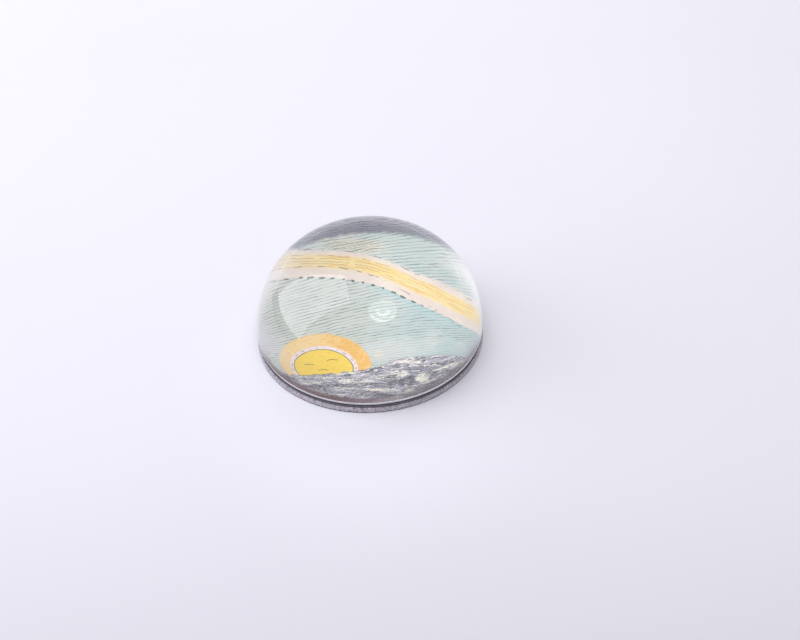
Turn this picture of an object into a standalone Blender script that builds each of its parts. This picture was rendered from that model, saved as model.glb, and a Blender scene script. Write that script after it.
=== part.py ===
"""Dome paperweight: a solid glass dome over a printed paper disc, standing on a felt pad.

Metres, +Z up. The origin is the centre of the pad's underside, on the axis that
every piece shares. Listed from the bottom: felt pad, pad adhesive, backing card,
paper print, clear glue film, glass dome.
"""

import math

import bpy

# Driving dimensions, in metres.
DOME_RADIUS = 0.0400
TOTAL_HEIGHT = 0.0408
SHOULDER_HEIGHT = 0.0044        # where the dome's curve meets the upright foot
DOME_FULLNESS = 2.2             # 2 is an ellipse; more is flatter on top, fuller at the sides

PAD_RADIUS = 0.0406
PAD_THICKNESS = 0.0018
PAD_EDGE_ROUND = 0.0003
ADHESIVE_THICKNESS = 0.00012
CARD_THICKNESS = 0.0005
PRINT_THICKNESS = 0.00015
FILM_THICKNESS = 0.00008
LAYER_GAP = 0.0002              # clearance between neighbouring layers

FOOT_CHAMFER = 0.0003           # small ground edge at the bottom of the glass
ADHESIVE_INSET = 0.0011         # how far each layer stops short of the dome's side
CARD_INSET = 0.0006
PRINT_INSET = 0.0007
FILM_INSET = 0.0009

# How finely the round shapes are divided.
TURN_STEPS = 72
DOME_STEPS = 18
EDGE_STEPS = 3

# The layers' places, from the table up.
ADHESIVE_BASE = PAD_THICKNESS + LAYER_GAP
CARD_BASE = ADHESIVE_BASE + ADHESIVE_THICKNESS + LAYER_GAP
PRINT_BASE = CARD_BASE + CARD_THICKNESS + LAYER_GAP
FILM_BASE = PRINT_BASE + PRINT_THICKNESS + LAYER_GAP
GLASS_BASE = FILM_BASE + FILM_THICKNESS + LAYER_GAP

MERGE_DISTANCE = 0.00001
SMOOTH_ANGLE = math.radians(40)

OBJECT_NAME = "dome_paperweight"


def clear_scene():
    for obj in list(bpy.data.objects):
        bpy.data.objects.remove(obj, do_unlink=True)


def new_collection(name):
    collection = bpy.data.collections.new(name)
    bpy.context.scene.collection.children.link(collection)
    return collection


def principled(name, colour, roughness, transmission=0.0):
    material = bpy.data.materials.new(name)
    material.use_nodes = True
    shader = material.node_tree.nodes["Principled BSDF"]
    shader.inputs["Base Color"].default_value = (*colour, 1.0)
    shader.inputs["Roughness"].default_value = roughness
    shader.inputs["Metallic"].default_value = 0.0
    shader.inputs["Transmission Weight"].default_value = transmission
    return material


def turned(name, profile, material, collection):
    """A solid of revolution. The profile runs from the axis at the top, down the outer
    side, to the axis at the bottom, as (radius, height) pairs."""
    mesh = bpy.data.meshes.new(name)
    edges = [(i, i + 1) for i in range(len(profile) - 1)]
    mesh.from_pydata([(radius, 0.0, height) for radius, height in profile], edges, [])
    obj = bpy.data.objects.new(name, mesh)
    collection.objects.link(obj)
    obj.data.materials.append(material)
    screw = obj.modifiers.new("turn", "SCREW")
    screw.axis = "Z"
    screw.angle = math.tau
    screw.steps = TURN_STEPS
    screw.render_steps = TURN_STEPS
    screw.use_merge_vertices = True
    screw.merge_threshold = MERGE_DISTANCE
    screw.use_smooth_shade = True
    return obj


def make_smooth(obj):
    """Applies the turn, then shades the round faces smooth and keeps the edges crisp."""
    graph = bpy.context.evaluated_depsgraph_get()
    solid = bpy.data.meshes.new_from_object(obj.evaluated_get(graph))
    solid.name = obj.name
    obj.modifiers.clear()
    obj.data = solid
    solid.shade_smooth()
    solid.set_sharp_from_angle(angle=SMOOTH_ANGLE)


def dome_curve():
    """The superellipse from the top of the dome down to its widest circle."""
    height = TOTAL_HEIGHT - SHOULDER_HEIGHT
    power = 2.0 / DOME_FULLNESS
    points = []
    for step in range(DOME_STEPS + 1):
        angle = 0.5 * math.pi * step / DOME_STEPS
        radius = DOME_RADIUS * math.sin(angle) ** power
        rise = height * max(math.cos(angle), 0.0) ** power
        points.append((radius, SHOULDER_HEIGHT + rise))
    points[-1] = (DOME_RADIUS, SHOULDER_HEIGHT)
    return points


def glass_profile():
    """The dome's curve, the upright foot, the ground edge and the flat underside."""
    foot = [
        (DOME_RADIUS, GLASS_BASE + FOOT_CHAMFER),
        (DOME_RADIUS - FOOT_CHAMFER, GLASS_BASE),
        (0.0, GLASS_BASE),
    ]
    return dome_curve() + foot


def disc_profile(radius, base, thickness):
    top = base + thickness
    return [(0.0, top), (radius, top), (radius, base), (0.0, base)]


def rounded_disc_profile(radius, base, thickness, rounding):
    """A disc whose upper and lower rims are quarter-circle rounds."""
    top = base + thickness
    upper = []
    lower = []
    for step in range(EDGE_STEPS + 1):
        angle = 0.5 * math.pi * step / EDGE_STEPS
        across = rounding * math.sin(angle)
        along = rounding * math.cos(angle)
        upper.append((radius - rounding + across, top - rounding + along))
        lower.append((radius - rounding + along, base + rounding - across))
    return [(0.0, top)] + upper + lower + [(0.0, base)]


def build_felt_pad(collection):
    material = principled("felt_grey", (0.42, 0.41, 0.45), 0.95)
    profile = rounded_disc_profile(PAD_RADIUS, 0.0, PAD_THICKNESS, PAD_EDGE_ROUND)
    return turned("felt_pad", profile, material, collection)


def build_pad_adhesive(collection):
    material = principled("adhesive_amber", (0.16, 0.13, 0.11), 0.55)
    radius = DOME_RADIUS - ADHESIVE_INSET
    profile = disc_profile(radius, ADHESIVE_BASE, ADHESIVE_THICKNESS)
    return turned("pad_adhesive", profile, material, collection)


def build_backing_card(collection):
    material = principled("card_black", (0.055, 0.052, 0.065), 0.8)
    radius = DOME_RADIUS - CARD_INSET
    profile = disc_profile(radius, CARD_BASE, CARD_THICKNESS)
    return turned("backing_card", profile, material, collection)


def build_picture_print(collection):
    material = principled("paper_print", (0.63, 0.76, 0.72), 0.75)
    radius = DOME_RADIUS - PRINT_INSET
    profile = disc_profile(radius, PRINT_BASE, PRINT_THICKNESS)
    return turned("picture_print", profile, material, collection)


def build_glue_film(collection):
    material = principled("clear_glue", (0.95, 0.95, 0.92), 0.10, transmission=1.0)
    radius = DOME_RADIUS - FILM_INSET
    profile = disc_profile(radius, FILM_BASE, FILM_THICKNESS)
    return turned("glue_film", profile, material, collection)


def build_glass_dome(collection):
    material = principled("clear_glass", (0.98, 1.0, 0.99), 0.0, transmission=1.0)
    return turned("glass_dome", glass_profile(), material, collection)


def main():
    clear_scene()
    collection = new_collection(OBJECT_NAME)
    pieces = [
        build_felt_pad(collection),
        build_pad_adhesive(collection),
        build_backing_card(collection),
        build_picture_print(collection),
        build_glue_film(collection),
        build_glass_dome(collection),
    ]
    for piece in pieces:
        make_smooth(piece)


main()
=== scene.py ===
"""A glass dome paperweight over a hand-coloured, engraved picture, on a grey felt pad.

The picture, a sunrise over a choppy sea under a band of light, is drawn by shader nodes
in millimetres from the print's centre: +X right, +Y towards the picture's top.
"""

import math
import random

import bmesh
import bpy
from mathutils import Matrix, Vector


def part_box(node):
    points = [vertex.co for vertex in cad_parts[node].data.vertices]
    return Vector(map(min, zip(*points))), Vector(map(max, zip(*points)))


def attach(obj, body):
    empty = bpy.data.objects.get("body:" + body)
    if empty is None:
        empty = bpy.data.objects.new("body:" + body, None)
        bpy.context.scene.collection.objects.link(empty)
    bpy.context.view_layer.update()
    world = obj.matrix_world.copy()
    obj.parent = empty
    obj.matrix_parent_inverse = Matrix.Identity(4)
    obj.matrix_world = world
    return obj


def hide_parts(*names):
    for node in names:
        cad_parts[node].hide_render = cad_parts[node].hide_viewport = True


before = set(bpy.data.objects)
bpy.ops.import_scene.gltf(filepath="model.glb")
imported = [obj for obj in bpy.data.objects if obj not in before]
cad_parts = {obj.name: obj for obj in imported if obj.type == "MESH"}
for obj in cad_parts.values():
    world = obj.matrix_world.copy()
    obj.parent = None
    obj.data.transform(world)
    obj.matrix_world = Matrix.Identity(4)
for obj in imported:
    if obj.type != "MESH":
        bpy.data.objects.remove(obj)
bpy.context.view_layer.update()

MM = 0.001
UP = Vector((0.0, 0.0, 1.0))

# ---------------------------------------------------------------- places, read from the frame

GLASS_LOW, GLASS_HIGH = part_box("glass_dome")
FELT_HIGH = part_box("felt_pad")[1]

DOME_RADIUS = GLASS_HIGH.x
DOME_TOP = GLASS_HIGH.z
GLASS_BASE = GLASS_LOW.z
SHOULDER = GLASS_BASE + 0.75 * MM       # where the dome's curve meets the upright foot
FELT_RADIUS = FELT_HIGH.x

# The layers under the glass lie on each other here, without the gaps of the CAD.
PRINT_TOP = GLASS_BASE + 0.02 * MM      # just inside the glass, as if stuck without any air
PRINT_BASE = GLASS_BASE - 0.45 * MM
PRINT_EDGE = DOME_RADIUS - 0.30 * MM
CARD_TOP = PRINT_BASE - 0.01 * MM
CARD_BASE = PRINT_BASE - 0.72 * MM
CARD_EDGE = DOME_RADIUS - 0.25 * MM
PAD_TOP = FELT_HIGH.z - 0.10 * MM
PAD_EDGE = FELT_RADIUS - 0.45 * MM
PAD_SHIFT = -0.40 * MM                  # the pad is stuck on a little off centre, to the front
ADHESIVE_TOP = CARD_BASE - 0.01 * MM
ADHESIVE_BASE = PAD_TOP - 0.02 * MM
ADHESIVE_EDGE = CARD_EDGE - 0.15 * MM


# ---------------------------------------------------------------- building meshes

LAYER_SEGMENTS = 192


def finish_piece(piece, slot, *replaced):
    """Every piece rides on the one body; most stand for a CAD node, which it hides. The slot isn't
    used.
    """
    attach(piece, "root")
    if replaced:
        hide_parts(*replaced)


def new_object(name, mesh, material):
    obj = bpy.data.objects.new(name, mesh)
    bpy.context.scene.collection.objects.link(obj)
    mesh.materials.append(material)
    return obj


def mesh_of(name, bm):
    mesh = bpy.data.meshes.new(name)
    bm.to_mesh(mesh)
    bm.free()
    return mesh


def smooth_mesh_of(name, bm, smooth_degrees):
    """A mesh shaded smooth, except at edges that turn by more than smooth_degrees."""
    bmesh.ops.recalc_face_normals(bm, faces=bm.faces)
    mesh = mesh_of(name, bm)
    mesh.shade_smooth()
    mesh.set_sharp_from_angle(angle=math.radians(smooth_degrees))
    return mesh


def round_point(radius, angle, height):
    return (radius * math.cos(angle), radius * math.sin(angle), height)


def join_rings(bm, upper, lower):
    """Faces between two closed rings with the same number of vertices."""
    for k in range(len(upper)):
        after = (k + 1) % len(upper)
        bm.faces.new((upper[k], lower[k], lower[after], upper[after]))


def close_ring(bm, tip, ring):
    for k in range(len(ring)):
        bm.faces.new((tip, ring[k], ring[(k + 1) % len(ring)]))


def turned_mesh(name, profile, segments, smooth_degrees=35):
    """A closed solid of revolution from (radius, height) pairs, from the axis at the top,
    down the outer side, to the axis at the bottom."""
    angles = [math.tau * k / segments for k in range(segments)]
    bm = bmesh.new()
    top = bm.verts.new((0.0, 0.0, profile[0][1]))
    rings = []
    for radius, height in profile[1:-1]:
        rings.append([bm.verts.new(round_point(radius, angle, height)) for angle in angles])
    bottom = bm.verts.new((0.0, 0.0, profile[-1][1]))
    close_ring(bm, top, rings[0])
    for upper, lower in zip(rings, rings[1:]):
        join_rings(bm, upper, lower)
    close_ring(bm, bottom, rings[-1])
    return smooth_mesh_of(name, bm, smooth_degrees)


def arc(centre_r, centre_z, radius, start_deg, end_deg, steps):
    """(radius, height) pairs along an arc; angles from the outward direction, up positive."""
    points = []
    for i in range(steps + 1):
        angle = math.radians(start_deg + (end_deg - start_deg) * i / steps)
        points.append((centre_r + radius * math.cos(angle), centre_z + radius * math.sin(angle)))
    return points


def disc_profile(radius, base, top, rounding):
    inner = radius - rounding
    rim = [(inner, top)] + arc(inner, top - rounding, rounding, 90, 0, 3)[1:]
    rim += arc(inner, base + rounding, rounding, 0, -90, 3)
    return [(0.0, top)] + rim + [(0.0, base)]


# ---------------------------------------------------------------- shader arithmetic

class Value:
    """One output in a node tree. Arithmetic on it adds Math nodes."""

    def __init__(self, sketch, socket):
        self.sketch = sketch
        self.socket = socket

    def __add__(self, other):
        return self.sketch.math("ADD", self, other)

    def __radd__(self, other):
        return self.sketch.math("ADD", other, self)

    def __sub__(self, other):
        return self.sketch.math("SUBTRACT", self, other)

    def __rsub__(self, other):
        return self.sketch.math("SUBTRACT", other, self)

    def __mul__(self, other):
        return self.sketch.math("MULTIPLY", self, other)

    def __rmul__(self, other):
        return self.sketch.math("MULTIPLY", other, self)

    def __truediv__(self, other):
        return self.sketch.math("DIVIDE", self, other)


class Sketch:
    """The node tree of a material, a lamp or the world, written as arithmetic on Values."""

    def __init__(self, owner):
        self.owner = owner
        owner.use_nodes = True
        self.tree = owner.node_tree
        self.tree.nodes.clear()

    def node(self, kind, **settings):
        made = self.tree.nodes.new(kind)
        for key, value in settings.items():
            setattr(made, key, value)
        return made

    def feed(self, socket, value):
        if isinstance(value, Value):
            self.tree.links.new(value.socket, socket)
        elif isinstance(value, bpy.types.NodeSocket):
            self.tree.links.new(value, socket)
        elif isinstance(value, tuple) and len(value) == 3 and socket.type == "RGBA":
            socket.default_value = (*value, 1.0)
        else:
            socket.default_value = value

    def math(self, operation, *values):
        made = self.node("ShaderNodeMath", operation=operation)
        for socket, value in zip(made.inputs, values):
            self.feed(socket, value)
        return Value(self, made.outputs[0])

    def least(self, a, b):
        return self.math("MINIMUM", a, b)

    def most(self, a, b):
        return self.math("MAXIMUM", a, b)

    def size(self, a):
        """The number without its sign."""
        return self.math("ABSOLUTE", a)

    def length(self, x, y):
        return self.math("SQRT", x * x + y * y)

    def turn(self, x, y):
        """The angle round the centre, in radians, from +Y towards +X."""
        return self.math("ARCTAN2", x, y)

    def zigzag(self, value, half_pitch):
        """Rises from 0 to half_pitch and falls back, over and over."""
        return self.math("PINGPONG", value, half_pitch)

    def ramp(self, value, low, high):
        """0 below low and 1 above high, or the other way round when low is above high."""
        made = self.node("ShaderNodeMapRange", clamp=True, interpolation_type="SMOOTHSTEP")
        limits = (low, high, 0.0, 1.0) if low <= high else (high, low, 1.0, 0.0)
        self.feed(made.inputs["Value"], value)
        for name, limit in zip(("From Min", "From Max", "To Min", "To Max"), limits):
            made.inputs[name].default_value = limit
        return Value(self, made.outputs["Result"])

    def band(self, value, outer, inner):
        """1 where the value's size is under inner, fading to 0 at outer."""
        return self.ramp(self.size(value), outer, inner)

    def noise(self, x, y, scale, detail, roughness, seed, stretch=(1.0, 1.0)):
        """Noise from about 0.3 to 0.7, of scale features a millimetre."""
        place = self.node("ShaderNodeCombineXYZ")
        for socket, value in zip(place.inputs, (x * stretch[0], y * stretch[1], seed)):
            self.feed(socket, value)
        made = self.node("ShaderNodeTexNoise", noise_dimensions="3D")
        self.feed(made.inputs["Vector"], place.outputs[0])
        made.inputs["Scale"].default_value = scale
        made.inputs["Detail"].default_value = detail
        made.inputs["Roughness"].default_value = roughness
        return Value(self, made.outputs["Fac"])

    def blend(self, share, base, top):
        """The base colour with the given share of the top colour."""
        made = self.node("ShaderNodeMix", data_type="RGBA", blend_type="MIX", clamp_factor=True)
        self.feed(made.inputs["Factor"], share)
        self.feed(made.inputs["A"], base)
        self.feed(made.inputs["B"], top)
        return Value(self, made.outputs["Result"])

    def bump(self, height, distance, strength):
        made = self.node("ShaderNodeBump")
        made.inputs["Strength"].default_value = strength
        made.inputs["Distance"].default_value = distance
        self.feed(made.inputs["Height"], height)
        return Value(self, made.outputs["Normal"])

    def split(self, vector):
        made = self.node("ShaderNodeSeparateXYZ")
        self.feed(made.inputs[0], vector)
        return [Value(self, socket) for socket in made.outputs]

    def point_mm(self):
        """The point on the surface, in the frame that all pieces share, in millimetres."""
        coords = self.node("ShaderNodeTexCoord")
        return [value * (1.0 / MM) for value in self.split(coords.outputs["Object"])]

    def principled(self, **values):
        made = self.node("ShaderNodeBsdfPrincipled")
        for name, value in values.items():
            self.feed(made.inputs[name.replace("_", " ")], value)
        return made.outputs[0]

    def mix(self, share, base, top):
        """The base shader with the given share of the top shader."""
        made = self.node("ShaderNodeMixShader")
        for socket, value in zip(made.inputs, (share, base, top)):
            self.feed(socket, value)
        return made.outputs[0]

    def surface(self, shader, output="ShaderNodeOutputMaterial"):
        self.feed(self.node(output).inputs["Surface"], shader)


def new_sketch(name):
    return Sketch(bpy.data.materials.new(name))


def srgb(red, green, blue):
    """A colour written as 0 to 255 display values, as the linear numbers that shaders use."""
    linear = []
    for value in (red, green, blue):
        share = value / 255.0
        linear.append(share / 12.92 if share <= 0.04045 else ((share + 0.055) / 1.055) ** 2.4)
    return tuple(linear)


# ---------------------------------------------------------------- glass

GLASS_TINT = (0.985, 1.0, 0.992)
GLASS_IOR = 1.52
DOME_FULLNESS = 2.2                     # 2 is an ellipse; more is flatter on top
DOME_SEGMENTS = 256
DOME_STEPS = 96
FOOT_ROUND = 0.35 * MM


def glass_material():
    s = new_sketch("clear_glass")
    s.surface(s.principled(Base_Color=GLASS_TINT, Roughness=0.0, IOR=GLASS_IOR,
                           Transmission_Weight=1.0))
    return s.owner


def dome_profile():
    """The dome's superellipse, the upright foot, its rounded lower edge and the flat base."""
    height = DOME_TOP - SHOULDER
    power = 2.0 / DOME_FULLNESS
    points = [(0.0, DOME_TOP)]
    for step in range(1, DOME_STEPS):
        angle = 0.5 * math.pi * step / DOME_STEPS
        points.append((DOME_RADIUS * math.sin(angle) ** power,
                       SHOULDER + height * math.cos(angle) ** power))
    points.append((DOME_RADIUS, SHOULDER))
    points += arc(DOME_RADIUS - FOOT_ROUND, GLASS_BASE + FOOT_ROUND, FOOT_ROUND, 0, -90, 8)
    points.append((0.0, GLASS_BASE))
    return points


def build_glass_dome():
    mesh = turned_mesh("dome_glass", dome_profile(), DOME_SEGMENTS)
    dome = new_object("dome_glass", mesh, glass_material())
    finish_piece(dome, "glass", "glass_dome")


# ---------------------------------------------------------------- the printed picture
#
# Places and lengths here are millimetres on the print. Each draw_ function lays one part of
# the picture over base: s is the sketch, x and y are the point, and rag is a small noise that
# makes edges ragged. Two noises never share a seed.

SKY_LINE_PITCH = 0.93
ARCH_CENTRE = (-28.6, -79.2)
ARCH_RADIUS = 98.3
SUN_CENTRE = (-13.1, -16.8)
SUN_RADIUS = 8.35
HALO_RADIUS = 13.2

PAPER = srgb(244, 238, 230)
PAPER_CUT_LIGHT = srgb(253, 251, 254)
PAPER_CUT_GREY = srgb(240, 236, 244)
SKY_GREY = srgb(209, 213, 205)
SKY_AQUA = srgb(193, 210, 207)
SKY_PALE = srgb(217, 221, 216)
SKY_FAR = srgb(218, 232, 228)
SKY_SAND = srgb(236, 226, 206)
SKY_BLUE = srgb(184, 214, 218)
SKY_INK = srgb(92, 112, 104)
BAND_CREAM = srgb(240, 228, 215)
BAND_PINK = srgb(236, 220, 210)
BAND_YELLOW = srgb(250, 229, 168)
BAND_GOLD = srgb(245, 207, 126)
BAND_INK = srgb(158, 112, 78)
BAND_LOW_INK = srgb(112, 84, 84)
BAND_TOP_INK = srgb(110, 104, 112)
BAND_GREEN_INK = srgb(58, 84, 80)
BAND_TEAL = srgb(150, 208, 210)
SUN_YELLOW = srgb(255, 222, 84)
SUN_GOLD = srgb(250, 204, 74)
SUN_INK = srgb(66, 62, 70)
FACE_INK = srgb(112, 84, 40)
HALO_AMBER = srgb(252, 220, 156)
HALO_ORANGE = srgb(248, 188, 84)
HALO_PALE = srgb(255, 226, 168)
RING_PINK = srgb(246, 228, 226)
RING_INK = srgb(120, 116, 130)
SEA_LIGHT = srgb(232, 229, 238)
SEA_GREY = srgb(192, 191, 206)
SEA_DEEP = srgb(70, 70, 94)
SEA_DARK = srgb(44, 42, 60)
FOAM = srgb(255, 249, 236)
DUSK_GREY = srgb(136, 142, 154)
DUSK_MAUVE = srgb(144, 143, 156)
DUSK_INK = srgb(74, 80, 104)
DUSK_SIDES = srgb(222, 218, 232)
DUSK_PAINTED_REFLECTION = srgb(220, 216, 230)
RIM_MIST = srgb(190, 192, 206)
RIM_PAINTED_LIGHT = srgb(255, 252, 250)
RIM_HAZE = srgb(240, 238, 246)
RIM_MAUVE = srgb(140, 106, 128)
RIM_RUSSET = srgb(112, 70, 76)
RIM_PAINTED_HIGHLIGHT = srgb(252, 250, 254)
SHORE_LIGHT = srgb(150, 142, 146)
SHORE_DARK = srgb(84, 72, 78)

# Ink lines along the band: distance out from its middle, half-width, share drawn, strength, seed.
BAND_LINES = (
    (2.35, 0.07, 0.50, 0.65, 60.0),
    (1.55, 0.05, 0.62, 0.55, 61.0),
    (0.75, 0.05, 0.66, 0.58, 62.0),
    (0.05, 0.06, 0.62, 0.55, 63.0),
    (-0.7, 0.05, 0.55, 0.45, 65.0),
)

# The sun's closed eyes and mouth: centre, half-length, rise in the middle.
FACE_STROKES = (
    ((-16.7, -14.7), 1.4, 0.40),
    ((-10.0, -13.0), 1.6, 0.35),
    ((-12.9, -17.3), 1.4, 0.35),
)

# Dark hollows and pale crests in the sea, as ovals: centre, half-lengths, lean in degrees.
MAIN_HOLLOW = ((10.5, -25.0), (2.4, 3.4), 0)
HOLLOWS = (
    ((5.5, -22.0), (2.0, 1.3), -30), ((4.0, -33.5), (3.6, 2.4), 0),
    ((19.5, -30.5), (7.5, 3.4), 28), ((-6.0, -26.0), (5.5, 1.0), -4),
    ((27.5, -23.5), (5.5, 2.2), 42), ((-18.0, -28.0), (5.0, 1.4), -12),
    ((13.0, -13.6), (1.8, 1.0), -30), ((18.5, -21.2), (1.8, 0.8), 0),
    ((-2.0, -24.8), (3.0, 0.9), 6), ((8.5, -24.2), (3.4, 0.8), 10),
)
MAIN_CREST = ((15.2, -23.8), (2.0, 2.9), 12)
CRESTS = (
    ((8.7, -20.4), (1.8, 1.3), -10), ((3.0, -28.8), (5.4, 0.9), -6),
    ((22.5, -18.8), (4.8, 0.8), 18), ((-7.3, -23.0), (1.9, 0.9), 5),
    ((12.3, -31.8), (1.8, 1.7), 0), ((-16.0, -24.3), (1.5, 0.6), 0),
    ((-6.0, -18.9), (3.6, 0.45), 8), ((-1.5, -23.4), (2.4, 0.6), 0),
    ((8.6, -14.6), (1.8, 0.5), 6), ((18.0, -26.5), (2.6, 0.6), 30),
)


def patch(s, x, y, rag, centre, reach, lean, soft):
    """1 inside a ragged oval: its centre, half-lengths, lean in degrees and soft edge."""
    angle = math.radians(lean)
    dx = x - centre[0]
    dy = y - centre[1]
    along = (dx * math.cos(angle) + dy * math.sin(angle)) / reach[0]
    over = (dy * math.cos(angle) - dx * math.sin(angle)) / reach[1]
    return s.ramp(s.length(along, over) + rag, 1.0 + soft, 1.0 - soft)


def dashes(s, along, scale, share, seed):
    """Broken strokes: 1 for about the given share of the way along a line."""
    cut = 0.5 + 0.34 * (0.5 - share)
    return s.ramp(s.noise(along, 0.0, scale, 1.0, 0.5, seed), cut - 0.03, cut + 0.03)


def draw_washes(s, x, y, rag):
    """The sky's watercolour: green and blue, paler clouds, two sandy spots, a blue streak."""
    drift = s.ramp(x + 22.0 * (s.noise(x, y, 0.09, 3.0, 0.6, 3.0) - 0.5), -9.0, 15.0)
    sky = s.blend(drift, SKY_GREY, SKY_AQUA)
    sky = s.blend(s.ramp(y, 13.0, 20.0) * 0.5, sky, SKY_FAR)
    cloud = s.ramp(s.noise(x, y, 0.16, 4.0, 0.62, 9.0, stretch=(0.7, 1.2)), 0.46, 0.66)
    pale = s.most(cloud, patch(s, x, y, rag, (6.0, -10.0), (8.0, 4.5), 12, 0.5))
    sky = s.blend(pale * 0.75, sky, SKY_PALE)
    sand = patch(s, x, y, rag, (-3.0, 22.0), (7.0, 2.4), -8, 0.4)
    sand = s.most(sand, patch(s, x, y, rag, (2.0, -11.3), (1.3, 1.6), 0, 0.5) * 0.8)
    sky = s.blend(sand * 0.7, sky, SKY_SAND)
    blue = patch(s, x, y, rag, (11.0, 5.0), (8.0, 1.5), -32, 0.6)
    return s.blend(blue * 0.3, sky, SKY_BLUE)


def draw_sky(s, x, y, rag):
    """Washes under fine engraved lines that rise to the right, with a little hatching."""
    sky = draw_washes(s, x, y, rag)
    centred = x + 8.0
    rise = 0.21 * x - 0.0000667 * (centred * centred * centred)
    level = y - rise + 0.9 * (s.noise(x, y, 0.14, 2.0, 0.5, 21.0) - 0.5)
    level = level + 0.34 * (s.noise(x, y, 0.7, 2.0, 0.5, 5.0) - 0.5)
    across = s.zigzag(level, 0.5 * SKY_LINE_PITCH)
    weight = s.noise(x, level, 0.62, 3.0, 0.65, 31.0, stretch=(0.42, 2.4))
    width = s.ramp(weight, 0.34, 0.68) * 0.15 + 0.02
    line = s.ramp(across - width, 0.06, -0.05)
    faint = s.ramp(s.noise(x, y, 0.16, 3.0, 0.6, 41.0), 0.36, 0.60) * 0.42 + 0.36
    fade = 1.0 - patch(s, x, y, rag, (9.0, -9.5), (13.0, 4.0), 5, 0.5) * 0.6
    sky = s.blend(line * faint * fade, sky, SKY_INK)
    slant = s.zigzag(y + 0.42 * x + rag, 0.34)
    hatch = s.ramp(slant - 0.09, 0.06, -0.04)
    hatch = hatch * patch(s, x, y, rag, (-5.0, 22.0), (5.5, 1.7), -8, 0.3)
    return s.blend(hatch * 0.5, sky, SKY_INK)


def draw_dusk(s, base, x, y, rag):
    """The far rim of the sky: a grey zone, closely ruled, that pales towards its ends."""
    out = s.length(x, y)
    edge = out + rag * 0.25 - 0.0028 * (x * x)
    dusk = s.ramp(edge + 0.8 * rag, 25.7, 27.0) * s.ramp(y, 8.0, 14.0)
    tint = s.ramp(s.noise(x, y, 0.4, 3.0, 0.6, 128.0), 0.40, 0.62)
    shade = s.blend(tint, DUSK_GREY, DUSK_MAUVE)
    ruled = s.zigzag(0.35 * y + 0.65 * out - 0.05 * x + 0.5 * rag, 0.25)
    weight = s.ramp(s.noise(x, y, 0.8, 2.0, 0.6, 129.0, stretch=(0.5, 2.0)), 0.34, 0.66)
    line = s.ramp(ruled - 0.04 - 0.08 * weight, 0.05, -0.05)
    shade = s.blend(line * 0.62, shade, DUSK_INK)
    sides = s.ramp(s.size(x + 1.0), 15.0, 26.0)
    shade = s.blend(sides * 0.72, shade, DUSK_SIDES)
    # Painted reflection: the far rim is paler towards its very edge, where the dome mirrors the
    # pale room at a grazing angle.
    shade = s.blend(s.ramp(out, 33.5, 37.5) * 0.6, shade, DUSK_PAINTED_REFLECTION)
    return s.blend(dusk, base, shade)


def draw_arch(s, base, x, y, rag):
    """A curved band of light: cream edges, a golden middle, and broken ink lines."""
    dx = x - ARCH_CENTRE[0]
    bend = s.ramp(x, 2.0, 12.0) - s.ramp(x, 20.0, 40.0) * 3.6
    dy = y + bend - ARCH_CENTRE[1]
    out = s.length(dx, dy) - ARCH_RADIUS
    along = s.turn(dx, dy) * ARCH_RADIUS
    edge = out + rag * 0.55
    cream = s.ramp(edge, -3.85, -3.65) * s.ramp(edge - 0.03 * s.most(x, 0.0), 4.5, 3.4)
    tint = s.ramp(s.noise(x, y, 0.30, 3.0, 0.6, 48.0), 0.40, 0.62)
    picture = s.blend(cream, base, s.blend(tint, BAND_CREAM, BAND_PINK))
    grain = s.noise(along, out, 0.7, 4.0, 0.62, 50.0, stretch=(0.16, 2.4))
    patchy = s.ramp(s.noise(x, y, 0.13, 2.0, 0.5, 51.0), 0.40, 0.62)
    gold = s.blend(s.ramp(grain, 0.38, 0.64) * (0.35 + 0.65 * patchy), BAND_YELLOW, BAND_GOLD)
    core = s.ramp(edge, -1.9, -0.4) * s.ramp(edge, 3.3, 2.0)
    bleached = 1.0 - 0.30 * s.ramp(x, 0.0, -22.0) - 0.45 * s.ramp(x, 24.0, 34.0)
    picture = s.blend(core * bleached, picture, gold)
    return draw_arch_ink(s, picture, x, out, along, rag)


def draw_arch_ink(s, base, x, out, along, rag):
    """Brown lines in the band's middle, and a line of dashes along each of its edges."""
    picture = base
    fade = 0.35 + 0.65 * s.ramp(x, 16.0, -4.0)
    for offset, half, share, strength, seed in BAND_LINES:
        stroke = s.band(out - offset + rag * 0.5, half + 0.08, half - 0.03)
        stroke = stroke * dashes(s, along, 0.30, share, seed)
        picture = s.blend(stroke * strength * fade, picture, BAND_INK)
    lower = out + 0.75 + 0.0028 * (x + 14.0) * (x + 14.0)
    stroke = s.band(lower, 0.17, 0.05) * dashes(s, along, 0.42, 0.42, 64.0)
    picture = s.blend(stroke * 0.72, picture, BAND_LOW_INK)
    under = s.band(out + 4.6, 1.0, 0.2) * s.ramp(x, -4.0, 4.0)
    picture = s.blend(under * 0.16, picture, BAND_TEAL)
    beat = s.zigzag(along + 5.0 * s.noise(along, 0.0, 0.5, 2.0, 0.5, 70.0), 1.3)
    rim = s.band(out + 3.85 + rag * 0.3, 0.36, 0.18) * s.ramp(beat, 0.62, 0.36)
    picture = s.blend(rim * 0.9 * s.ramp(x, 15.0, 10.0), picture, BAND_GREEN_INK)
    top = s.band(out - 3.95 + rag * 0.4, 0.20, 0.06) * dashes(s, along, 0.45, 0.40, 71.0)
    return s.blend(top * 0.7, picture, BAND_TOP_INK)


def curved_stroke(s, x, y, centre, half_length, rise):
    """A short stroke that is higher in the middle, as for a closed eye."""
    across = (x - centre[0]) / half_length
    over = y - centre[1] - rise * (1.0 - across * across)
    return s.band(over, 0.20, 0.07) * s.band(across, 1.05, 0.85)


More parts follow.
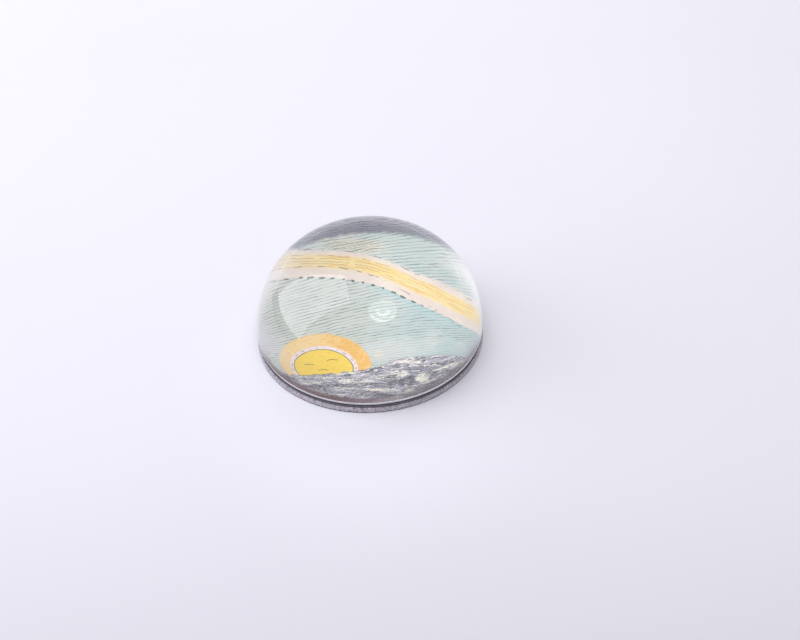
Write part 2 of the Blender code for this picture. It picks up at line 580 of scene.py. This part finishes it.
def draw_sun(s, base, x, y, rag):
    """A plain sun with a pale ring and an orange glow, and three strokes for a sleepy face."""
    dx = x - SUN_CENTRE[0]
    dy = y - SUN_CENTRE[1]
    out = s.length(dx, dy)
    streak = s.noise(x, y, 0.9, 4.0, 0.62, 80.0, stretch=(0.5, 2.0))
    warm = s.ramp(dx + rag * 4.0, -3.0, 9.5)
    glow = s.blend(warm * 0.8 + s.ramp(streak, 0.42, 0.62) * 0.45, HALO_AMBER, HALO_ORANGE)
    brushed = s.ramp(s.noise(x, y, 0.8, 3.0, 0.6, 82.0, stretch=(1.6, 0.5)), 0.52, 0.64)
    glow = s.blend(brushed * 0.45, glow, HALO_PALE)
    halo = s.ramp(out + rag * 1.1 - dy * 0.05, HALO_RADIUS + 0.45, HALO_RADIUS - 0.35)
    picture = s.blend(halo * 0.95, base, glow)
    picture = s.blend(s.ramp(out + rag * 0.5, 9.85, 9.55), picture, RING_PINK)
    along = s.turn(dx, dy) * 9.0
    fleck = dashes(s, along, 0.85, 0.36, 84.0) * s.band(out - 9.1 + rag * 0.6, 0.30, 0.12)
    picture = s.blend(fleck * 0.5, picture, RING_INK)
    disc = s.blend(s.ramp(streak, 0.38, 0.66) * 0.7, SUN_YELLOW, SUN_GOLD)
    picture = s.blend(s.ramp(out, SUN_RADIUS + 0.12, SUN_RADIUS - 0.12), picture, disc)
    picture = s.blend(s.band(out - SUN_RADIUS, 0.20, 0.05) * 0.85, picture, SUN_INK)
    face = curved_stroke(s, x, y, *FACE_STROKES[0])
    for stroke in FACE_STROKES[1:]:
        face = s.most(face, curved_stroke(s, x, y, *stroke))
    return s.blend(face * 0.9, picture, FACE_INK)


def draw_sea(s, base, x, y, rag):
    """Choppy water below a ragged horizon that climbs to the right and falls at the rim."""
    rise = s.ramp(x, -2.0, 10.0) * 4.6
    fall = s.ramp(x, 19.0, 36.0) * 5.0
    crest = -20.6 + 0.16 * s.least(s.most(x + 22.0, 0.0), 20.0) + rise - fall
    horizon = crest + 3.0 * (s.noise(x, y, 0.34, 3.0, 0.6, 100.0) - 0.5) + rag * 0.9
    below = horizon - y
    picture = s.blend(s.ramp(below, -0.10, 0.12), base, draw_water(s, x, y, rag))
    line = s.band(below - 0.12, 0.16, 0.04) * dashes(s, x, 0.55, 0.62, 119.0)
    return s.blend(line * 0.7, picture, SEA_DARK)


def draw_water(s, x, y, rag):
    """Pale and dark masses of water, then its broken strokes of indigo ink and white."""
    bend_x = x + 2.2 * (s.noise(x, y, 0.30, 2.0, 0.5, 110.0) - 0.5)
    bend_y = y - 0.12 * x + 3.6 * (s.noise(x, y, 0.24, 2.0, 0.55, 111.0) - 0.5)
    tone = s.noise(bend_x, bend_y, 0.60, 4.0, 0.62, 112.0, stretch=(0.45, 1.7))
    sea = s.blend(s.ramp(tone, 0.40, 0.56), SEA_GREY, SEA_LIGHT)
    swell = s.noise(bend_x, bend_y, 0.26, 2.0, 0.5, 113.0, stretch=(0.5, 1.6))
    sea = s.blend(s.ramp(swell, 0.48, 0.40) * 0.55, sea, SEA_DEEP)
    sea = s.blend(s.ramp(swell, 0.55, 0.62) * 0.7, sea, FOAM)
    dark = patch(s, x, y, rag, *MAIN_HOLLOW, 0.35)
    for hollow in HOLLOWS:
        dark = s.most(dark, patch(s, x, y, rag, *hollow, 0.4) * 0.78)
    sea = s.blend(dark * 0.78, sea, SEA_DEEP)
    foam = patch(s, x, y, rag, *MAIN_CREST, 0.22)
    for oval in CRESTS:
        foam = s.most(foam, patch(s, x, y, rag, *oval, 0.28))
    sea = s.blend(foam * 0.95, sea, FOAM)
    return draw_water_ink(s, sea, bend_x, bend_y, foam)


def draw_water_ink(s, base, x, y, foam):
    """Wavy ink strokes with lights between them, then blots, spray and fine flecks."""
    wave = s.zigzag(y, 0.36)
    weight = s.noise(x, y, 1.1, 3.0, 0.62, 115.0, stretch=(0.36, 1.9))
    stroke = s.ramp(wave - s.ramp(weight, 0.38, 0.64) * 0.27, 0.05, -0.05)
    sea = s.blend(stroke * (1.0 - foam * 0.75) * 0.78, base, SEA_DEEP)
    lit = s.ramp(s.noise(x, y, 0.7, 2.0, 0.5, 117.0, stretch=(0.5, 1.6)), 0.50, 0.60)
    sea = s.blend(s.band(wave - 0.30, 0.10, 0.02) * lit * 0.75, sea, FOAM)
    blot = s.ramp(s.noise(x, y, 1.15, 3.0, 0.60, 116.0, stretch=(0.50, 1.7)), 0.565, 0.615)
    sea = s.blend(blot * 0.85 * (1.0 - foam * 0.45), sea, SEA_DARK)
    spray = s.ramp(s.noise(x, y, 1.0, 3.0, 0.62, 118.0, stretch=(0.42, 1.9)), 0.570, 0.625)
    sea = s.blend(spray * 0.85, sea, FOAM)
    fleck = s.ramp(s.noise(x, y, 2.1, 2.0, 0.55, 121.0, stretch=(0.55, 1.5)), 0.585, 0.63)
    return s.blend(fleck * 0.8, sea, SEA_DARK)


def draw_rim(s, base, x, y, rag):
    """Pale left and right rims, brightened with painted light, and a near rim that fades to mauve,
    russet and shore, edged by a thin painted highlight.
    """
    out = s.length(x, y)
    misty = patch(s, x, y, rag, (34.5, -13.0), (5.5, 5.5), 0, 0.6)
    picture = s.blend(misty * 0.75, base, RIM_MIST)
    sideways = 0.78 * s.size(x) + 0.625 * y
    # Painted light: the left and right rims are brightened, the right one most, where the dome
    # gathers the lamps' light onto the print.
    bright = s.ramp(sideways, 22.5, 27.0) * s.ramp(y, 24.0, 15.0) * s.ramp(y, -14.0, -4.0)
    picture = s.blend(bright * (0.70 + 0.30 * s.ramp(x, -5.0, 5.0)), picture, RIM_PAINTED_LIGHT)
    haze = s.ramp(x + 0.3 * y, -22.0, -29.0) * s.ramp(y, 12.0, 6.0) * s.ramp(y, -16.0, -6.0)
    picture = s.blend(haze * 0.35, picture, RIM_HAZE)
    ragged = out + 2.4 * (s.noise(x, y, 0.22, 2.0, 0.5, 130.0) - 0.5)
    low = s.ramp(y, -6.0, -16.0)
    rim = s.ramp(ragged, 33.8, 36.4) * low * s.ramp(x, 12.0, -2.0)
    rim_ink = s.blend(s.ramp(x, -14.0, 2.0), RIM_RUSSET, RIM_MAUVE)
    picture = s.blend(rim * 0.85, picture, rim_ink)
    shore = s.ramp(ragged, 31.0, 36.0) * low * s.ramp(x, 2.0, 14.0)
    along = s.turn(x, y) * 36.0
    streak = s.ramp(s.noise(along, out, 0.9, 3.0, 0.6, 131.0, stretch=(0.35, 2.2)), 0.44, 0.60)
    picture = s.blend(shore * 0.68, picture, s.blend(streak, SHORE_LIGHT, SHORE_DARK))
    # Painted highlight: a thin white line near the front rim, standing in for the glint on the
    # glass's lower edge.
    line = s.ramp(out, 38.7, 38.9) * s.ramp(y, 2.0, -8.0)
    return s.blend(line, picture, RIM_PAINTED_HIGHLIGHT)


def picture_material():
    """The drawing on the sheet's upper face, and white paper on its cut edge."""
    s = new_sketch("printed_picture")
    flat_x, flat_y, z = s.point_mm()
    x = flat_x + 0.5 * (s.noise(flat_x, flat_y, 0.5, 2.0, 0.5, 1.0) - 0.5)
    y = flat_y + 0.5 * (s.noise(flat_x, flat_y, 0.5, 2.0, 0.5, 2.0) - 0.5)
    rag = 1.1 * (s.noise(flat_x, flat_y, 0.9, 3.0, 0.6, 7.0) - 0.5)
    picture = draw_sky(s, x, y, rag)
    picture = draw_dusk(s, picture, x, y, rag)
    picture = draw_arch(s, picture, x, y, rag)
    picture = draw_sun(s, picture, x, y, rag)
    picture = draw_sea(s, picture, x, y, rag)
    picture = draw_rim(s, picture, x, y, rag)
    tooth = s.noise(flat_x, flat_y, 3.0, 3.0, 0.6, 140.0)
    picture = s.blend(s.ramp(tooth, 0.35, 0.65) * 0.12, picture, PAPER)
    mottle = s.ramp(s.noise(flat_x, flat_y, 2.0, 3.0, 0.6, 141.0), 0.35, 0.65)
    edge = s.blend(mottle, PAPER_CUT_LIGHT, PAPER_CUT_GREY)
    top = s.ramp(z, PRINT_TOP / MM - 0.06, PRINT_TOP / MM - 0.03)
    colour = s.blend(top, edge, picture)
    s.surface(s.principled(Base_Color=colour, Roughness=0.7, Specular_IOR_Level=0.3,
                           Normal=s.bump(tooth, 0.04 * MM, 0.25)))
    return s.owner


def build_picture_print():
    profile = disc_profile(PRINT_EDGE, PRINT_BASE, PRINT_TOP, 0.02 * MM)
    mesh = turned_mesh("picture_sheet", profile, LAYER_SEGMENTS)
    sheet = new_object("picture_sheet", mesh, picture_material())
    finish_piece(sheet, "printed_paper", "picture_print")


# ---------------------------------------------------------------- the layers under the glass

GLUE_IOR = 1.48
GLUE_LIGHT = (0.90, 0.88, 0.82)
GLUE_GREY = (0.62, 0.60, 0.58)
BEAD_INNER = PRINT_EDGE + 0.01 * MM
BEAD_TOP = GLASS_BASE - 0.005 * MM
BEAD_REACH = 0.13                       # millimetres outward, before its swells
BEAD_DROP = 0.16                        # millimetres down, before its swells
BEAD_SEGMENTS = 240
BEAD_WAVES = (5, 11, 17, 23)            # swells round the rim, added together

CARD_LIGHT = srgb(82, 79, 90)
CARD_DARK = srgb(58, 56, 66)
CARD_PLY = srgb(116, 112, 124)
ADHESIVE_LIGHT = srgb(76, 72, 82)
ADHESIVE_DARK = srgb(50, 47, 54)
ADHESIVE_SEAM = srgb(150, 146, 160)


def glue_material():
    s = new_sketch("cured_glue")
    x, y, z = s.point_mm()
    cloud = s.ramp(s.noise(x, y, 0.6, 3.0, 0.6, 150.0), 0.35, 0.7)
    colour = s.blend(cloud, GLUE_LIGHT, GLUE_GREY)
    s.surface(s.principled(Base_Color=colour, Roughness=cloud * 0.2 + 0.08, IOR=GLUE_IOR,
                           Transmission_Weight=0.7))
    return s.owner


def bead_section(angle, phases):
    """Four points round the bead's section, where it swells and thins round the rim."""
    swell = 0.08 * sum(math.sin(waves * angle + phase) for waves, phase in zip(BEAD_WAVES, phases))
    reach = (BEAD_REACH + 0.2 * swell) * MM
    drop = (BEAD_DROP + 0.2 * swell) * MM
    section = ((BEAD_INNER, BEAD_TOP), (BEAD_INNER + reach, BEAD_TOP),
               (BEAD_INNER + 0.62 * reach, GLASS_BASE - 0.55 * drop),
               (BEAD_INNER, GLASS_BASE - drop))
    return [round_point(radius, angle, height) for radius, height in section]


def build_glue_bead():
    """The bead of clear glue that shows round the print's rim, under the glass."""
    rng = random.Random(11)
    phases = [rng.uniform(0, math.tau) for _ in BEAD_WAVES]
    bm = bmesh.new()
    sections = []
    for k in range(BEAD_SEGMENTS):
        angle = math.tau * k / BEAD_SEGMENTS
        sections.append([bm.verts.new(point) for point in bead_section(angle, phases)])
    for here, there in zip(sections, sections[1:] + sections[:1]):
        join_rings(bm, here, there)
    mesh = smooth_mesh_of("glue_bead", bm, 50)
    bead = new_object("glue_bead", mesh, glue_material())
    finish_piece(bead, "clear_glue", "glue_film")


def card_material():
    s = new_sketch("black_card")
    x, y, z = s.point_mm()
    fibre = s.noise(x, y, 1.6, 4.0, 0.65, 160.0)
    ply = s.noise(x, z, 1.0, 2.0, 0.5, 161.0, stretch=(0.6, 9.0))
    # Painted shade, in part: the card's dark tones are its own black and also the shadow of the
    # recess under the glass's overhang.
    colour = s.blend(s.ramp(fibre, 0.35, 0.7), CARD_DARK, CARD_LIGHT)
    colour = s.blend(s.ramp(ply, 0.5, 0.7) * 0.5, colour, CARD_PLY)
    s.surface(s.principled(Base_Color=colour, Roughness=0.85,
                           Normal=s.bump(fibre, 0.05 * MM, 0.6)))
    return s.owner


def build_backing_card():
    profile = disc_profile(CARD_EDGE, CARD_BASE, CARD_TOP, 0.05 * MM)
    mesh = turned_mesh("card_backing", profile, LAYER_SEGMENTS)
    card = new_object("card_backing", mesh, card_material())
    finish_piece(card, "backing_card", "backing_card")


def adhesive_material():
    """Dark cured adhesive, partly painted shade of the recess, with a paler seam where it meets
    the card.
    """
    s = new_sketch("pad_adhesive_dark")
    x, y, z = s.point_mm()
    lump = s.noise(x, y, 0.9, 3.0, 0.6, 170.0)
    # Painted shade, in part: the dark tones stand in for the shadow in the recess between card and
    # felt.
    colour = s.blend(s.ramp(lump, 0.35, 0.7), ADHESIVE_DARK, ADHESIVE_LIGHT)
    seam = s.ramp(z + 0.2 * (lump - 0.5), PAD_TOP / MM + 0.36, PAD_TOP / MM + 0.44)
    colour = s.blend(seam * 0.8, colour, ADHESIVE_SEAM)
    s.surface(s.principled(Base_Color=colour, Roughness=s.ramp(lump, 0.3, 0.7) * 0.3 + 0.35))
    return s.owner


def build_pad_adhesive():
    profile = disc_profile(ADHESIVE_EDGE, ADHESIVE_BASE, ADHESIVE_TOP, 0.05 * MM)
    mesh = turned_mesh("adhesive_layer", profile, LAYER_SEGMENTS)
    layer = new_object("adhesive_layer", mesh, adhesive_material())
    finish_piece(layer, "adhesive", "pad_adhesive")


# ---------------------------------------------------------------- felt pad

FELT_DARK = srgb(158, 151, 163)
FELT_LIGHT = srgb(196, 188, 200)
FELT_WHITE_FLECK = srgb(228, 222, 232)
FELT_DARK_FLECK = srgb(88, 82, 94)
FELT_PAINTED_SHADOW = srgb(52, 48, 60)
FIBRE_DARK = srgb(172, 164, 176)
FIBRE_LIGHT = srgb(244, 240, 248)

PAD_SEGMENTS = 420
PAD_TOP_ROUND = 0.40 * MM
PAD_FOOT_ROUND = 0.30 * MM
PAD_RINGS = (20 * MM, 36 * MM)          # rings on the pad's upper face
PAD_SIDE = (0.62, 0.48, 0.34)           # rings on its side, as shares of its thickness
FIBRE_COUNT = 3600
FIBRE_POINTS = 4
FIBRE_SIDES = 3


def felt_material():
    """Matted grey wool with pale and dark flecks on the cut side, and painted contact shadow at
    its foot.
    """
    s = new_sketch("grey_felt")
    x, y, z = s.point_mm()
    along = s.turn(x, y) * (FELT_RADIUS / MM)
    matted = s.noise(x, y, 1.3, 5.0, 0.7, 180.0)
    pale = s.noise(along, z, 2.3, 3.0, 0.65, 181.0, stretch=(1.0, 0.6))
    dark = s.noise(along, z, 2.0, 3.0, 0.65, 182.0, stretch=(1.0, 0.8))
    colour = s.blend(s.ramp(matted, 0.32, 0.68), FELT_DARK, FELT_LIGHT)
    colour = s.blend(s.ramp(pale, 0.54, 0.64), colour, FELT_WHITE_FLECK)
    colour = s.blend(s.ramp(dark, 0.54, 0.64) * 0.8, colour, FELT_DARK_FLECK)
    # Painted contact shadow: the felt darkens towards the table, where it is shaded under its
    # rounded lower edge.
    foot = s.ramp(z + 0.5 * (matted - 0.5), 0.62, 0.38)
    colour = s.blend(foot * 0.92, colour, FELT_PAINTED_SHADOW)
    s.surface(s.principled(Base_Color=colour, Roughness=0.95, Sheen_Weight=0.35,
                           Normal=s.bump(matted + pale, 0.2 * MM, 0.8)))
    return s.owner


def felt_profile():
    shoulder = PAD_EDGE - PAD_TOP_ROUND
    profile = [(0.0, PAD_TOP)] + [(radius, PAD_TOP) for radius in PAD_RINGS]
    profile += [(shoulder - 0.4 * MM, PAD_TOP)]
    profile += arc(shoulder, PAD_TOP - PAD_TOP_ROUND, PAD_TOP_ROUND, 90, 0, 4)
    profile += [(PAD_EDGE, PAD_TOP * share) for share in PAD_SIDE]
    profile += arc(PAD_EDGE - PAD_FOOT_ROUND, PAD_FOOT_ROUND, PAD_FOOT_ROUND, 0, -90, 3)
    return profile + [(PAD_RINGS[-1], 0.0), (0.0, 0.0)]


def felt_mesh():
    """A disc with a cut, slightly lumpy side: each point of the rim is moved a little."""
    mesh = turned_mesh("felt_disc", felt_profile(), PAD_SEGMENTS, smooth_degrees=60)
    rng = random.Random(7)
    for vertex in mesh.vertices:
        radius = math.hypot(vertex.co.x, vertex.co.y)
        if radius < PAD_EDGE - 0.5 * MM:
            continue
        share = 1.0 + rng.uniform(-0.10, 0.02) * MM / radius
        vertex.co.x *= share
        vertex.co.y *= share
        if vertex.co.z > 0.3 * MM:
            vertex.co.z += rng.uniform(-0.05, 0.05) * MM
    mesh.transform(Matrix.Translation((0.0, PAD_SHIFT, 0.0)))
    return mesh


def add_fibre(bm, start, lean, bow, length, thick):
    """One bent, tapering fibre; it stays above the table and hardly rises past the pad."""
    cross = lean.cross(Vector((0.3, 0.2, 0.9))).normalized()
    other = lean.cross(cross)
    rings = []
    for i in range(FIBRE_POINTS):
        share = i / (FIBRE_POINTS - 1)
        centre = start + (lean + bow * share) * (length * share)
        centre.z = min(max(centre.z, 0.03 * MM), PAD_TOP + 0.15 * MM)
        width = thick * (1.0 - 0.65 * share)
        turns = [math.tau * k / FIBRE_SIDES for k in range(FIBRE_SIDES)]
        spokes = [cross * math.cos(turn) + other * math.sin(turn) for turn in turns]
        rings.append([bm.verts.new(centre + spoke * width) for spoke in spokes])
    for lower, upper in zip(rings, rings[1:]):
        join_rings(bm, upper, lower)
    bm.faces.new(rings[0][::-1])
    bm.faces.new(rings[-1])


def fibre_mesh():
    """Short loose fibres that stand out of the pad's cut side, as thin three-sided tapers."""
    bm = bmesh.new()
    rng = random.Random(23)
    for _ in range(FIBRE_COUNT):
        angle = rng.uniform(0, math.tau)
        height = rng.uniform(0.15, 0.95) * PAD_TOP
        outward = Vector((math.cos(angle), math.sin(angle), 0))
        side = Vector((-math.sin(angle), math.cos(angle), 0))
        start = outward * (PAD_EDGE - 0.10 * MM) + UP * height
        lean = outward * rng.uniform(0.15, 0.8) + side * rng.uniform(-1, 1)
        lean = (lean + UP * rng.uniform(-0.8, 0.9)).normalized()
        length = rng.uniform(0.20, 0.55) * MM
        bow = (side * rng.uniform(-1, 1) + UP * rng.uniform(-1, 1)) * 0.25
        thick = rng.uniform(0.012, 0.026) * MM
        add_fibre(bm, start, lean, bow, length, thick)
    mesh = mesh_of("felt_fibres", bm)
    mesh.shade_smooth()
    mesh.transform(Matrix.Translation((0.0, PAD_SHIFT, 0.0)))
    return mesh


def fibre_material():
    s = new_sketch("felt_fibre")
    x, y, z = s.point_mm()
    tone = s.ramp(s.noise(x, y, 2.2, 2.0, 0.6, 190.0), 0.38, 0.62)
    colour = s.blend(tone, FIBRE_DARK, FIBRE_LIGHT)
    s.surface(s.principled(Base_Color=colour, Roughness=0.9, Sheen_Weight=0.3))
    return s.owner


def build_felt_pad():
    pad = new_object("felt_disc", felt_mesh(), felt_material())
    finish_piece(pad, "felt", "felt_pad")
    fuzz = new_object("felt_fibres", fibre_mesh(), fibre_material())
    finish_piece(fuzz, "felt")


# ---------------------------------------------------------------- table and black card
#
# From here on, places and sizes are metres, with the paperweight at the centre.

BLACK = (0.0, 0.0, 0.0)
TABLE_TONES = ((0.825, 0.814, 0.878), (0.840, 0.829, 0.893))
TABLE_GLOW = (0.96, 0.95, 1.0)
TABLE_HALF = 3.0
FLAG_TONES = ((0.004, 0.004, 0.004), (0.008, 0.008, 0.009))
FLAG_X = -0.21
FLAG_Y = (-0.08, 0.13)
FLAG_Z = (0.001, 0.040)


def table_material():
    """A pale table with painted shade, a little darker in front and behind where the lamps' light
    falls off, that glows far away so that its horizon meets the background."""
    s = new_sketch("pale_table")
    x, y, z = s.point_mm()
    soft = s.ramp(s.noise(x, y, 0.004, 2.0, 0.5, 200.0), 0.3, 0.7)
    # Painted shade: the table is darkened in front and behind, standing in for the fall-off of the
    # lamps' light.
    darker = s.ramp(y, -50.0, -190.0) * 0.125 + s.ramp(y, 70.0, 300.0) * 0.06
    colour = s.blend(darker, s.blend(soft, *TABLE_TONES), BLACK)
    far = s.ramp(s.length(x, y), 290.0, 1000.0)
    s.surface(s.principled(Base_Color=colour, Roughness=0.6, Specular_IOR_Level=0.25,
                           Emission_Color=TABLE_GLOW, Emission_Strength=far * 0.50))
    # The glow isn't sampled as a lamp, which would change how the print is lit.
    s.owner.cycles.emission_sampling = "NONE"
    return s.owner


def build_table():
    bm = bmesh.new()
    bmesh.ops.create_grid(bm, x_segments=8, y_segments=8, size=TABLE_HALF)
    table = new_object("table_top", mesh_of("table_top", bm), table_material())


def flag_material():
    s = new_sketch("black_flag")
    x, y, z = s.point_mm()
    cloth = s.ramp(s.noise(y, z, 0.5, 3.0, 0.6, 210.0), 0.35, 0.65)
    colour = s.blend(cloth, *FLAG_TONES)
    s.surface(s.principled(Base_Color=colour, Roughness=0.95, Specular_IOR_Level=0.1))
    return s.owner


def build_flag():
    """A low black card to the left, out of view: only its mirror image shows in the glass."""
    near, far = FLAG_Y
    low, high = FLAG_Z
    corners = ((near, low), (far, low), (far, high), (near, high))
    bm = bmesh.new()
    bm.faces.new([bm.verts.new((FLAG_X, y, z)) for y, z in corners])
    flag = new_object("black_flag", mesh_of("black_flag", bm), flag_material())
    flag.visible_camera = False
    flag.visible_diffuse = False
    flag.visible_transmission = False
    flag.visible_shadow = False


# ---------------------------------------------------------------- lights and world

# The soft box at the left and the round dish behind the camera show in the glass.
SOFTBOX_PLACE = (-0.718, 0.11, 0.85)
SOFTBOX_TARGET = (0.218, 0.11, 0.498)
SOFTBOX_SIZE = (0.88, 1.6)
SOFTBOX_COLOUR = (0.97, 0.98, 1.05)
SOFTBOX_POWER = 10.0
DISH_PLACE = (0.25, -0.47, 1.06)
DISH_TARGET = (0.0, 0.0, 0.03)
DISH_SIZE = (0.56, 0.56)
DISH_POWER = 2.0

# The sweep from behind and the spot in front light the table and the pad, and don't show
# in the glass.
SWEEP_PLACE = (0.02, 0.80, 0.60)
SWEEP_TARGET = (0.0, 0.0, 0.0)
SWEEP_SIZE = (1.2, 0.8)
SWEEP_POWER = 6.4
SPOT_PLACE = (0.0, -0.30, 0.48)
SPOT_TARGET = (0.0, -0.035, 0.0)
SPOT_ANGLE = math.radians(12.5)
SPOT_SOURCE_RADIUS = 0.02
SPOT_POWER = 1.5

WORLD_COLOUR = (0.96, 0.95, 1.0)
HORIZON_LIGHT = 0.85                    # what mirrors and matt surfaces get from low down
ROOM_LIGHT = 0.25                       # what they get from above ROOM_STARTS
ROOM_STARTS = 0.5                       # sine of the angle above the horizon
PRINT_LIGHT = 0.88                      # what the glass lets through to the print
BACKDROP_LIGHT = 0.9                    # what the camera sees beyond the table


def aimed(position, target):
    """A matrix at position whose -Z looks at target."""
    back = (Vector(position) - Vector(target)).normalized()
    side = UP.cross(back).normalized()
    above = back.cross(side)
    basis = Matrix((side, above, back)).transposed().to_4x4()
    return Matrix.Translation(position) @ basis


def place_lamp(data, place, target):
    lamp = bpy.data.objects.new(data.name, data)
    bpy.context.scene.collection.objects.link(lamp)
    lamp.matrix_world = aimed(place, target)
    lamp.visible_camera = False
    return lamp


def area_light(name, shape, place, target, size, power):
    data = bpy.data.lights.new(name, "AREA")
    data.shape = shape
    data.size, data.size_y = size
    data.energy = power
    return place_lamp(data, place, target)


def hide_from_glass(lamp):
    """The lamp lights the table, but has no mirror image and isn't seen through the glass."""
    lamp.visible_glossy = False
    lamp.visible_transmission = False


def draw_dish_face(data):
    """The round lamp's face: a small bright ring with a dark middle, and a brighter arc
    near the edge, both strongest on the side that is lower in the glass."""
    s = Sketch(data)
    geometry = s.node("ShaderNodeNewGeometry")
    column, row, _ = s.split(geometry.outputs["Parametric"])
    across = column - 0.5
    up = row - 0.5
    radius = s.length(across, up) * 2.0
    low = 0.0 - across * 0.5 - up
    ring = s.band(radius - 0.34, 0.22, 0.04) * s.ramp(low, -0.20, 0.10)
    lower_arc = s.band(radius - 0.84, 0.18, 0.04) * s.ramp(low, 0.06, 0.36)
    face = s.ramp(radius, 1.0, 0.9)
    lamp = s.node("ShaderNodeEmission")
    s.feed(lamp.inputs["Strength"], face * 0.8 + ring * 1.3 + lower_arc * 1.1)
    s.surface(lamp.outputs[0], "ShaderNodeOutputLight")


def build_lights():
    soft_box = area_light("soft_box", "RECTANGLE", SOFTBOX_PLACE, SOFTBOX_TARGET, SOFTBOX_SIZE,
                          SOFTBOX_POWER)
    soft_box.data.color = SOFTBOX_COLOUR
    dish = area_light("round_dish", "DISK", DISH_PLACE, DISH_TARGET, DISH_SIZE, DISH_POWER)
    draw_dish_face(dish.data)
    sweep = area_light("back_sweep", "RECTANGLE", SWEEP_PLACE, SWEEP_TARGET, SWEEP_SIZE,
                       SWEEP_POWER)
    sweep.data.use_shadow = False
    hide_from_glass(sweep)
    spot = bpy.data.lights.new("front_glow", "SPOT")
    spot.energy = SPOT_POWER
    spot.spot_size = SPOT_ANGLE
    spot.spot_blend = 1.0
    spot.shadow_soft_size = SPOT_SOURCE_RADIUS
    hide_from_glass(place_lamp(spot, SPOT_PLACE, SPOT_TARGET))


def background(s, strength):
    made = s.node("ShaderNodeBackground")
    s.feed(made.inputs["Color"], WORLD_COLOUR)
    s.feed(made.inputs["Strength"], strength)
    return made.outputs[0]


def build_world():
    """Pale where the camera sees it, dim overhead for mirrors and matt surfaces, as a room
    is, and bright for light that has come through the glass, so that the print is lit well."""
    world = bpy.data.worlds.new("studio")
    bpy.context.scene.world = world
    s = Sketch(world)
    coords = s.node("ShaderNodeTexCoord")
    height = s.split(coords.outputs["Generated"])[2]
    low = s.ramp(height, ROOM_STARTS, 0.0)
    light = background(s, low * (HORIZON_LIGHT - ROOM_LIGHT) + ROOM_LIGHT)
    path = s.node("ShaderNodeLightPath")
    light = s.mix(path.outputs["Is Transmission Ray"], light, background(s, PRINT_LIGHT))
    light = s.mix(path.outputs["Is Camera Ray"], light, background(s, BACKDROP_LIGHT))
    s.surface(light, "ShaderNodeOutputWorld")


# ---------------------------------------------------------------- camera

CAMERA_ELEVATION = math.radians(40.59)
CAMERA_ROLL = math.radians(-2.12)
CAMERA_DISTANCE = 0.50267
CAMERA_LENS = 63.0
CAMERA_SENSOR = 36.0
BASE_IN_VIEW = (-0.01052, -0.00505)     # the base's centre, right of and above the camera's axis


def build_camera():
    data = bpy.data.cameras.new("camera")
    data.sensor_width = CAMERA_SENSOR
    data.lens = CAMERA_LENS
    data.clip_start = 0.01
    data.clip_end = 50.0
    camera = bpy.data.objects.new("camera", data)
    bpy.context.scene.collection.objects.link(camera)
    back = Vector((0.0, -math.cos(CAMERA_ELEVATION), math.sin(CAMERA_ELEVATION)))
    level = Vector((1.0, 0.0, 0.0))
    upright = back.cross(level)
    right = level * math.cos(CAMERA_ROLL) + upright * math.sin(CAMERA_ROLL)
    above = upright * math.cos(CAMERA_ROLL) - level * math.sin(CAMERA_ROLL)
    place = back * CAMERA_DISTANCE - right * BASE_IN_VIEW[0] - above * BASE_IN_VIEW[1]
    basis = Matrix((right, above, back)).transposed().to_4x4()
    camera.matrix_world = Matrix.Translation(place) @ basis
    bpy.context.scene.camera = camera


bpy.context.scene.view_settings.view_transform = "Standard"
build_world()
build_table()
build_flag()
build_lights()
build_camera()
build_glass_dome()
build_picture_print()
build_glue_bead()
build_backing_card()
build_pad_adhesive()
build_felt_pad()
